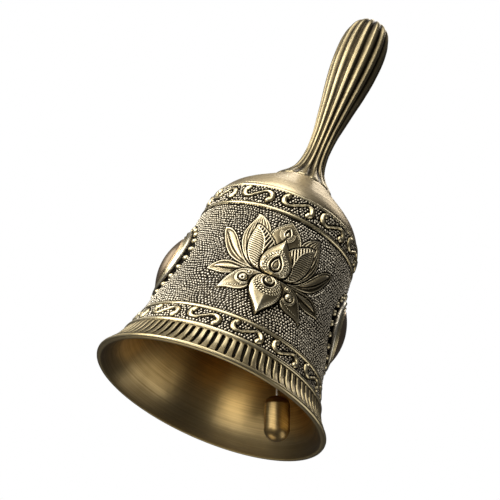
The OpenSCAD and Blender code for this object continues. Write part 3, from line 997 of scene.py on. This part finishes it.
def handle():
    n, per = 14, 18
    cols = n * per
    az = np.arange(cols) * 360.0 / cols
    pts = spline(H_CREST, 12)
    seg = np.hypot(*np.diff(pts, axis=0).T)
    s = np.concatenate([[0], np.cumsum(seg)])
    q = np.linspace(0, s[-1] - 0.35, 300)
    r, z = np.interp(q, s, pts[:, 0]), np.interp(q, s, pts[:, 1])
    dr, dz = np.gradient(r, q), np.gradient(z, q)
    ln = np.hypot(dr, dz)
    nr, nz = dz / ln, -dr / ln
    phase = (az * n / 360.0) % 1.0
    t = np.abs(phase - 0.5) * 2  # 0 on a land, 1 in a flute
    wob = soft_noise(len(q), cols, 10, 6, 9)
    depth = np.interp(z, [72.9, 74.4, 77, 80, 86, 95, 110, 125, 134, 137.5, 139.1], [0.30, 0.36, 0.48, 0.50, 0.44, 0.46, 0.62, 0.75, 0.70, 0.5, 0.12])
    depth = np.minimum(depth, r * 0.2)
    T = t[None, :] + 0.03 * wob
    lobe = 0.26 * (1 - smooth(73.0, 77.5, z))[:, None]
    f = smooth(0.16, 0.92, np.clip((T - lobe) / (1 - lobe), 0, 1))
    h = -depth[:, None] * f + 0.02 * wob
    R = r[:, None] + h * nr[:, None]
    Z = z[:, None] + h * nz[:, None]
    R = np.maximum(R, 0.02)
    outer = np.stack([R, Z], -1)
    # closed: foot face, blind hole, and a cap at the tip
    foot = np.asarray([(2.0, 84.0), (2.0, 80.0), (2.0, 75.6), (3.6, 75.6), (5.2, 75.5), (6.6, 75.0), (8.0, 73.0)])
    footr = np.repeat(foot[:, None, :], cols, 1)
    sec = np.concatenate([footr, outer], 0)
    rows = sec.shape[0]
    tone_o = 0.63 - 0.40 * smooth(0.32, 0.85, np.clip((T - lobe) / (1 - lobe), 0, 1)) + 0.05 * wob
    # the foot lobes and the tip are rubbed brighter; painted shadow darkens the bottom of the foot where it meets the
    # shoulder
    tone_o = tone_o + (0.10 * smooth(75.2, 73.6, z) - 0.35 * smooth(73.25, 72.8, z) + 0.25 * smooth(136.5, 138.8, z))[:, None]
    tone = np.concatenate([np.full((len(foot), cols), 0.4), np.clip(tone_o, 0, 1)], 0)
    a = np.radians(az)[None, :]
    v = np.stack([sec[..., 0] * np.sin(a), -sec[..., 0] * np.cos(a), sec[..., 1]], -1).reshape(-1, 3)
    v = np.vstack([v, [[0, 0, 84.0], [0, 0, float(outer[-1, :, 1].mean()) + 0.01]]]) * MM
    i = np.arange(rows - 1)[:, None]
    j = np.arange(cols)[None, :]
    j2 = (j + 1) % cols
    f4 = np.stack([i * cols + j, i * cols + j2, (i + 1) * cols + j2, (i + 1) * cols + j], -1).reshape(-1, 4)
    faces = [tuple(x) for x in f4.tolist()]
    lo, hi = rows * cols, rows * cols + 1
    for jj in range(cols):
        k = (jj + 1) % cols
        faces.append((k, jj, lo))
        faces.append(((rows - 1) * cols + jj, (rows - 1) * cols + k, hi))
    me = bpy.data.meshes.new("fluted_handle")
    me.from_pydata([tuple(p) for p in v.tolist()], [], faces)
    me.polygons.foreach_set("use_smooth", np.ones(len(me.polygons), bool))
    me.materials.append(mat_handle)
    att = me.attributes.new("tone", "FLOAT", "POINT")
    att.data.foreach_set("value", np.concatenate([tone.ravel(), [0.2, 0.9]]).astype(np.float32))
    ne = len(me.edges)
    ev = np.zeros(ne * 2, np.int32)
    me.edges.foreach_get("vertices", ev)
    ev = ev.reshape(-1, 2)
    rr_ = ev // cols
    sharp = np.zeros(ne, bool)
    for qd in (0, 2, len(foot)):
        sharp |= (rr_[:, 0] == qd) & (rr_[:, 1] == qd)
    att = me.attributes.new("sharp_edge", "BOOLEAN", "EDGE")
    att.data.foreach_set("value", sharp)
    me.update()
    ob = bpy.data.objects.new("fluted_handle", me)
    bpy.context.scene.collection.objects.link(ob)
    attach(ob, "bell")
    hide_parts("handle")
    return ob


handle()

# CAD hardware keeps its shape and gets its own finish
for name, mat in (
    ("eye_bolt", mat_steel), ("flat_washer", mat_steel), ("spring_washer", mat_dark_steel),
    ("hex_nut", mat_steel), ("link_ring", mat_wire), ("clapper_rod", mat_wire), ("clapper_bob", mat_bob),
):
    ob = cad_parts[name]
    ob.data.materials.clear()
    ob.data.materials.append(mat)

# ------------------------------------------------------------ camera, lights
cam_x = Vector((0.91355, -0.17894, 0.36526))
cam_y = Vector((-0.40674, -0.40190, 0.82039))
cam_z = Vector((0.0, -0.89803, -0.43994))
rot = Matrix((cam_x, cam_y, cam_z)).transposed()
cam_data = bpy.data.cameras.new("camera")
cam_data.lens = 103.97
cam_data.sensor_width = 36.0
cam_data.clip_start = 0.01
cam_data.clip_end = 50
cam = bpy.data.objects.new("camera", cam_data)
cam.matrix_world = Matrix.Translation(Vector((-6.776, -378.16, -137.29)) * MM) @ rot.to_4x4()
bpy.context.scene.collection.objects.link(cam)
bpy.context.scene.camera = cam


def area(name, pos, target, size, power, colour=(1, 1, 1), size_y=None):
    d = bpy.data.lights.new(name, "AREA")
    d.shape = "RECTANGLE"
    d.size = size
    d.size_y = size_y or size
    d.energy = power
    d.color = colour
    o = bpy.data.objects.new(name, d)
    p, t = Vector(pos), Vector(target)
    o.matrix_world = Matrix.Translation(p) @ (t - p).to_track_quat("-Z", "Y").to_matrix().to_4x4()
    bpy.context.scene.collection.objects.link(o)
    return o


mid = (0, 0, 0.05)
area("key_left", (-0.95, -0.38, 0.22), mid, 0.6, 10.4, (1.0, 0.985, 0.96), 0.9)
area("top_front", (-0.40, -0.45, 1.05), mid, 0.7, 4.7, (1.0, 0.99, 0.97))
area("back_top", (0.17, 0.50, 1.0), mid, 0.72, 2.2, (1.0, 0.965, 0.93), 0.32)
area("back_left", (-0.85, 0.62, 0.50), mid, 0.35, 0.5, (1.0, 0.985, 0.97))
area("front_fill", (-0.38, -0.92, 0.54), mid, 0.8, 3.2, (1.0, 0.99, 0.98), 0.55)
area("front_low", (-0.56, -0.86, -0.34), (0, 0, 0.01), 0.6, 1.75, (1, 0.96, 0.90), 0.4)
area("low_right", (0.85, -0.12, -0.34), (0, 0, 0.01), 1.0, 1.6, (1, 0.98, 0.95), 0.5)
area("under", (-0.06, 0.24, -0.50), (0, 0, 0.02), 0.36, 0.36, (1, 0.88, 0.68))

world = bpy.data.worlds.new("studio")
bpy.context.scene.world = world
world.use_nodes = True
wn = world.node_tree
bg = wn.nodes["Background"]
wout = wn.nodes["World Output"]
tc = node(wn, "ShaderNodeTexCoord")
dot = node(wn, "ShaderNodeVectorMath", operation="DOT_PRODUCT")
wn.links.new(tc.outputs["Generated"], dot.inputs[0])
dot.inputs[1].default_value = Vector((-0.72, -0.42, 0.55)).normalized()
wn.links.new(ramp(wn, dot.outputs["Value"], [(0.0, (0.07, 0.07, 0.075)), (0.35, (0.20, 0.20, 0.20)), (1.0, (0.62, 0.61, 0.60))]), bg.inputs["Color"])
bg.inputs["Strength"].default_value = 0.7
white = node(wn, "ShaderNodeBackground")
white.inputs["Color"].default_value = (1, 1, 1, 1)
white.inputs["Strength"].default_value = 1.0
lp = node(wn, "ShaderNodeLightPath")
mx = node(wn, "ShaderNodeMixShader")
wn.links.new(lp.outputs["Is Camera Ray"], mx.inputs["Fac"])
wn.links.new(bg.outputs[0], mx.inputs[1])
wn.links.new(white.outputs[0], mx.inputs[2])
wn.links.new(mx.outputs[0], wout.inputs["Surface"])

m, nt, p = new_mat("pale_floor")
v = coords(nt)
p.inputs["Roughness"].default_value = 0.8
p.inputs["Emission Color"].default_value = (1, 1, 1, 1)
p.inputs["Emission Strength"].default_value = 0.62
nt.links.new(ramp(nt, noise(nt, v, 6, 4, 0.6), [(0.3, (0.40, 0.40, 0.40)), (0.7, (0.43, 0.43, 0.427))]), p.inputs["Base Color"])
fm = bpy.data.meshes.new("floor")
fm.from_pydata([(-4, -4, -0.62), (4, -4, -0.62), (4, 4, -0.62), (-4, 4, -0.62)], [], [(0, 1, 2, 3)])
fm.materials.append(m)
floor = bpy.data.objects.new("floor", fm)
bpy.context.scene.collection.objects.link(floor)
floor.visible_glossy = False
floor.visible_diffuse = False
bpy.context.scene.view_settings.view_transform = "Standard"
